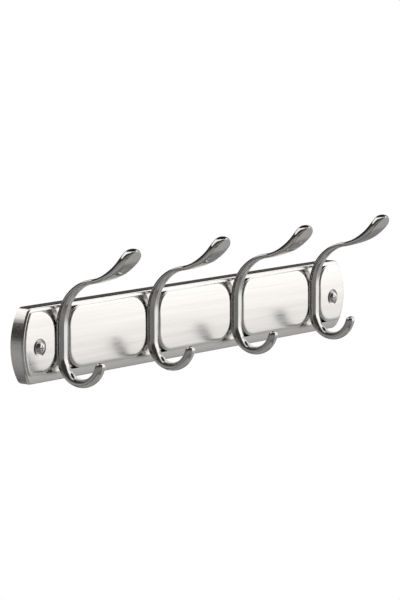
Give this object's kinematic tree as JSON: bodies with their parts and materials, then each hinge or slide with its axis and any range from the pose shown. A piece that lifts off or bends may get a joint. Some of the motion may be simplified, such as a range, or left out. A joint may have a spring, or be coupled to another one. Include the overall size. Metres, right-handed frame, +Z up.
{
  "type": "wall hook rack",
  "caption": "Wall-mounted rack with a hollow satin nickel plate, raised panels and a row of polished chrome double hooks, each with a spoon-tipped upper arm and a small lower hook.",
  "frame": {"origin": "the middle of the back face, on the wall", "axes": "+X along the rack, to the right as seen from the front; +Y into the wall; +Z up"},
  "size_m": [0.3888, 0.0936, 0.1023],
  "materials": {
    "plate": "satin nickel, finely brushed",
    "chrome": "polished",
    "screw_chrome": "polished",
    "zinc": "zinc plated",
    "spring": "dark spring steel"
  },
  "bodies": {
    "root": {"backplate": "plate", "hook_1": "chrome", "hook_2": "chrome", "hook_3": "chrome", "hook_4": "chrome", "hook_screw_1_lower": "zinc", "hook_screw_1_upper": "zinc", "hook_screw_2_lower": "zinc", "hook_screw_2_upper": "zinc", "hook_screw_3_lower": "zinc", "hook_screw_3_upper": "zinc", "hook_screw_4_lower": "zinc", "hook_screw_4_upper": "zinc", "lock_washer_1_lower": "spring", "lock_washer_1_upper": "spring", "lock_washer_2_lower": "spring", "lock_washer_2_upper": "spring", "lock_washer_3_lower": "spring", "lock_washer_3_upper": "spring", "lock_washer_4_lower": "spring", "lock_washer_4_upper": "spring", "wall_screw_left": "screw_chrome", "wall_screw_right": "screw_chrome"}
  },
  "joints": []
}
